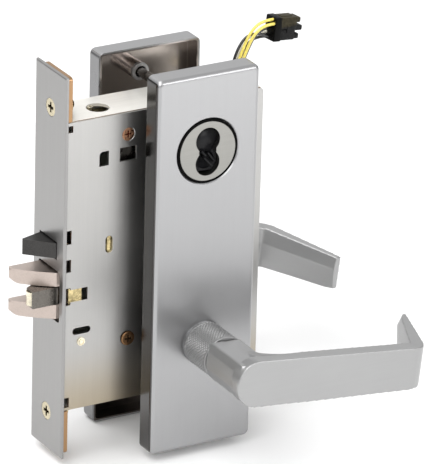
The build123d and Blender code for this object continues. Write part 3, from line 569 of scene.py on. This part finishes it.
def knurled_collar(side, body, node):
    """A sleeve with a diamond knurl cut as real four-sided points, and a plain band at each end."""
    count = KNURLS_ROUND * 2
    start, end = COLLAR_START + KNURL_BAND, COLLAR_END - KNURL_BAND

    def ring(along, radius):
        return (along, [radius] * count)

    rings = [ring(COLLAR_START, SHANK_R), ring(COLLAR_START, BAND_EDGE_R),
             ring(COLLAR_START + BAND_CHAMFER, BAND_R),
             ring(start - SLOPE_TOP, BAND_R), ring(start - SLOPE_FOOT, GROOVE_R)]
    for row in range(KNURL_ROWS + 1):
        along = start + (end - start) * row / KNURL_ROWS
        radii = [COLLAR_R - (KNURL_DEPTH if (step + len(rings)) % 2 == 0 else 0.0) for step in range(count)]
        rings.append((along, radii))
    rings += [ring(end + SLOPE_FOOT, GROOVE_R), ring(end + SLOPE_TOP, BAND_R),
              ring(COLLAR_END - BAND_CHAMFER, BAND_R),
              ring(COLLAR_END, BAND_EDGE_R), ring(COLLAR_END, SHANK_R)]
    obj = lathe_rings(node, rings, count, lambda along, x, z: (BACKSET + x, side * along, LEVER_Z + z))
    finish_piece(obj, node + "_knurled", body, "knurled_collar", [node], smooth_angle=20)


# ---------------------------------------------------------------- levers

# The blend starts as a round of NECK_R and ends as a block. NECK_REACH and NECK_HALF_HEIGHT each give the
# start and the growth, in millimetres
NECK_FROM, NECK_TO = -70.0, -81.2
NECK_R = 9.0
NECK_REACH = (6.0, 17.0)
NECK_HALF_HEIGHT = (9.6, 2.0)
NECK_CENTRE = (12, -79)
NECK_SMOOTH_REACH = 14
NECK_SMOOTH_GAIN = 1.6
NECK_SMOOTH_ROUNDS = 60
LEVER_SMOOTH_ROUNDS = 3
LEVER_VOXEL = 0.5
LEVER_DETAIL_KEPT = 0.22


def neck_blend(name):
    """The sweep between the round neck and the back of the grip, on a level outside lever."""
    count, steps = 72, 12
    verts = []
    for step in range(steps + 1):
        part = step / steps
        reach = NECK_REACH[0] + NECK_REACH[1] * (1 - math.sqrt(1 - part * part))
        half_height = NECK_HALF_HEIGHT[0] + NECK_HALF_HEIGHT[1] * part
        along = NECK_FROM + (NECK_TO - NECK_FROM) * part
        for turn in range(count):
            angle = 2 * math.pi * turn / count
            radius = NECK_R
            if math.cos(angle) > 0.02:
                to_side = reach / math.cos(angle)
                to_top = half_height / max(abs(math.sin(angle)), 1e-6)
                radius = max(radius, min(to_side, to_top))
            verts.append((radius * math.cos(angle), along, radius * math.sin(angle)))
    return mesh_object(name, verts, stacked_faces(steps + 1, count))


def rounded_lever(side, droop, body, node):
    """The CAD lever with a swept neck and rounded edges, made by remeshing and smoothing a copy."""
    lever = working_copy(nodes[node], node + "_shape")
    blend = neck_blend(node + "_blend")
    axis = Matrix.Translation(Vector((BACKSET, 0, LEVER_Z)) * MM)
    mirror = Matrix.Diagonal((1, -1, 1, 1)) if side > 0 else Matrix.Identity(4)
    place = mirror @ axis @ Matrix.Rotation(math.radians(droop), 4, "Y")
    blend.data.transform(place)
    fix_normals(blend)
    join_into(lever, [blend])
    remesh = lever.modifiers.new("remesh", "REMESH")
    remesh.mode = "VOXEL"
    remesh.voxel_size = LEVER_VOXEL * MM
    apply_modifiers(lever)
    level = place.inverted()
    group = lever.vertex_groups.new(name="neck")
    for vertex in lever.data.vertices:
        at = level @ vertex.co / MM
        near = (max(0.0, 1 - abs(at.x - NECK_CENTRE[0]) / NECK_SMOOTH_REACH)
                * max(0.0, 1 - abs(at.y - NECK_CENTRE[1]) / NECK_SMOOTH_REACH))
        if near > 0:
            group.add([vertex.index], min(1.0, near * NECK_SMOOTH_GAIN), "REPLACE")
    everywhere = lever.modifiers.new("smooth", "SMOOTH")
    everywhere.factor = 0.5
    everywhere.iterations = LEVER_SMOOTH_ROUNDS
    neck = lever.modifiers.new("smooth_neck", "SMOOTH")
    neck.vertex_group = "neck"
    neck.factor = 0.5
    neck.iterations = NECK_SMOOTH_ROUNDS
    thin = lever.modifiers.new("thin", "DECIMATE")
    thin.ratio = LEVER_DETAIL_KEPT
    apply_modifiers(lever)
    finish_piece(lever, node + "_rounded", body, "satin_lever", [node], smooth_angle=0)


# ---------------------------------------------------------------- springs

SPRING_STEPS_PER_TURN, SPRING_SIDES = 24, 8
# Each spring: its joint, moving end, fixed end, coil radius, wire radius, turns, and travel in millimetres
SPRINGS = {
    "latch_spring": ("latch_slide", (14.0, 6.5, -15.5), (46.0, 6.5, -15.5), 3.95, 0.45, 12, 17.8),
    "guard_spring": ("guard_press", (12.0, 0.2, 8.2), (46.0, 0.2, 8.2), 2.85, 0.5, 13, 11.5),
    "plunger_spring": ("solenoid_pull", (102.0, 0.0, -24.0), (102.0, 0.0, -3.6), 4.95, 0.6, 8, 5.2),
}


def wound_spring(node, joint, moving_end, fixed_end, radius, wire, turns, travel):
    """A wound wire in the place of the CAD's plain tube."""
    start, end = Vector(moving_end), Vector(fixed_end)
    length = (end - start).length
    axis = (end - start).normalized()
    side = Vector((0, 1, 0))
    other = axis.cross(side)
    verts = []
    count = turns * SPRING_STEPS_PER_TURN + 1
    for step in range(count):
        angle = 2 * math.pi * step / SPRING_STEPS_PER_TURN
        out = side * math.cos(angle) + other * math.sin(angle)
        centre = start + axis * (wire + (length - 2 * wire) * step / (count - 1)) + out * radius
        for turn in range(SPRING_SIDES):
            tilt = 2 * math.pi * turn / SPRING_SIDES
            verts.append(centre + (out * math.cos(tilt) + axis * math.sin(tilt)) * wire)
    coil = mesh_object(node + "_shape", verts, stacked_faces(count, SPRING_SIDES))
    fix_normals(coil)
    finish_piece(coil, node + "_coil", "lock_case", "spring_wire", [node])
    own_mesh(coil)


# ---------------------------------------------------------------- core filler

# A point on the flat cut, the cut's normal, and the size of the ribs, in millimetres
CORE_FOOT = (69.85, -30.0, 46.6)
CORE_FOOT_NORMAL = (-0.08, 0, -1)
CORE_RIB_FRONT, CORE_RIB_BACK = -31.4, -28.0
CORE_RIB_HALF_WIDTH = 0.55
# Each rib: x and z of its upper end, then of its lower end
CORE_RIBS = [(71.3, 56.0, 75.6, 50.2), (69.1, 53.7, 74.0, 48.2), (67.6, 57.4, 70.4, 54.3)]


def core_filler():
    """The core filler with a flat cut at its foot and slanting ribs across its lower lobe."""
    core = working_copy(nodes["core_insert"], "core_shape")
    bm = bmesh.new()
    bm.from_mesh(core.data)
    bmesh.ops.remove_doubles(bm, verts=bm.verts, dist=1e-7)
    cut = bmesh.ops.bisect_plane(bm, geom=bm.verts[:] + bm.edges[:] + bm.faces[:],
                                 plane_co=Vector(CORE_FOOT) * MM, plane_no=CORE_FOOT_NORMAL, clear_outer=True)
    rim = [part for part in cut["geom_cut"] if isinstance(part, bmesh.types.BMEdge)]
    bmesh.ops.triangle_fill(bm, edges=rim, use_beauty=True)
    bm.to_mesh(core.data)
    bm.free()
    ribs = []
    for x0, z0, x1, z1 in CORE_RIBS:
        half = math.hypot(x1 - x0, z1 - z0) / 2
        rib = box_piece("rib", -half, half, CORE_RIB_FRONT, CORE_RIB_BACK,
                        -CORE_RIB_HALF_WIDTH, CORE_RIB_HALF_WIDTH, 0.5, 4)
        rib.data.transform(Matrix.Translation(Vector(((x0 + x1) / 2, 0, (z0 + z1) / 2)) * MM)
                           @ Matrix.Rotation(math.atan2(z0 - z1, x1 - x0), 4, "Y"))
        ribs.append(rib)
    join_into(core, ribs)
    fix_normals(core)
    finish_piece(core, "core_filler", "lock_case", "core_black", ["core_insert"])


# ---------------------------------------------------------------- connector

def connector():
    """The plug: a back band, a stepped body with a rib and a latch, and three rows of sockets."""
    pieces = [
        box_piece("band", 0.0, 4.6, -4.2, 4.2, -6.2, 6.2, 0.6),
        box_piece("body_upper", 4.0, 14.0, -3.9, 3.9, -0.2, 5.9, 0.5),
        box_piece("body_lower", 4.0, 13.4, -3.7, 3.7, -5.9, -0.4, 0.5),
        box_piece("rib", 7.8, 13.0, -4.15, -3.6, -2.0, 2.2, 0.2),
        box_piece("latch", 5.2, 12.0, -1.6, 1.6, 5.6, 6.2, 0.2),
    ]
    for row, (z, reach) in enumerate(((-4.2, 2.2), (0.0, 3.8), (4.2, 2.2))):
        pieces.append(box_piece("lobe_%d" % row, 12.5, 14.2 + reach, -3.4, 3.4, z - 1.35, z + 1.35, 0.6, 4))
    plug = pieces[0]
    join_into(plug, pieces[1:])
    plug.data.transform(Matrix.Translation(Vector(CONNECTOR_AT) * MM)
                        @ Matrix.Rotation(math.radians(CONNECTOR_YAW), 4, "Z")
                        @ Matrix.Rotation(math.radians(CONNECTOR_PITCH), 4, "Y"))
    finish_piece(plug, "plug", "lock_case", "plug_black", ["connector_housing"])


# ---------------------------------------------------------------- lead wires

# Each lead: its material, its path in millimetres, and its length in millimetres
WIRES = {
    "lead_yellow_1": ("wire_yellow", [(103.3, -1.1, 75.2), (103.6, -1.2, 85.0), (106.9, -1.5, 94.3),
                                      (110.6, -1.8, 102.4), (116.8, -1.8, 107.5), (124.7, -1.0, 106.8)], 44),
    "lead_yellow_2": ("wire_yellow", [(105.2, -1.5, 75.2), (105.1, -2.2, 84.8), (108.2, -2.9, 94.1),
                                      (111.9, -3.4, 101.8), (117.9, -3.5, 105.7), (124.6, -2.4, 104.9)], 41.5),
    "lead_black_1": ("wire_black", [(101.1, -0.2, 75.2), (101.4, -0.1, 84.5), (104.6, 0.1, 93.9),
                                    (109.7, 0.3, 100.2), (117.2, 0.5, 100.1), (123.2, 0.4, 97.5)], 40.7),
    "lead_black_2": ("wire_black", [(106.4, 0.7, 75.2), (106.7, 0.2, 83.5), (110.2, -0.9, 93.6),
                                    (113.2, -1.5, 100.1), (118.5, -0.7, 102.5), (123.9, 0.5, 102.9)], 37.3),
    "lead_black_3": ("wire_black", [(105.0, 2.4, 75.2), (105.7, 2.8, 82.7), (110.1, 4.0, 90.3),
                                    (114.2, 4.6, 95.1), (118.7, 4.2, 96.7), (122.7, 3.0, 96.7)], 31.4),
    "lead_white_1": ("wire_white", [(102.9, 1.7, 75.2), (103.7, 1.9, 83.4), (107.3, 2.2, 92.2),
                                    (111.7, 2.6, 97.9), (117.7, 2.8, 99.3), (123.1, 2.6, 99.5)], 36.2),
}


def make_wire(node, slot, points):
    """One lead as a round curve, from the grommet to the plug."""
    curve = bpy.data.curves.new(node, "CURVE")
    curve.dimensions = "3D"
    curve.bevel_depth = WIRE_R * MM
    curve.bevel_resolution = 5
    curve.use_fill_caps = True
    spline = curve.splines.new("NURBS")
    spline.points.add(len(points) - 1)
    for target, point in zip(spline.points, points):
        target.co = (*(c * MM for c in point), 1)
    spline.order_u = 3
    spline.use_endpoint_u = True
    spline.resolution_u = 16
    wire = bpy.data.objects.new(node, curve)
    bpy.context.scene.collection.objects.link(wire)
    finish_piece(wire, "wire_" + node[5:], "lock_case", slot, [node])


# ---------------------------------------------------------------- build

materials = make_materials()
NODE_SLOT = {row["node"]: row["material_slot"] for row in frame["record"]["subparts"]}
for node_name, obj in nodes.items():
    obj.data.materials.clear()
    obj.data.materials.append(materials[NODE_SLOT[node_name]])

place_camera()
light_scene()
lay_floor()

knurled_collar(-1, "outside_handle", "outside_collar")
knurled_collar(1, "inside_handle", "inside_collar")
rounded_lever(-1, OUTSIDE_DROOP, "outside_handle", "outside_lever")
rounded_lever(1, INSIDE_DROOP, "inside_handle", "inside_lever")
core_filler()
for node_name, spring in SPRINGS.items():
    wound_spring(node_name, *spring)
connector()
for node_name, (slot, points, length) in WIRES.items():
    make_wire(node_name, slot, points)
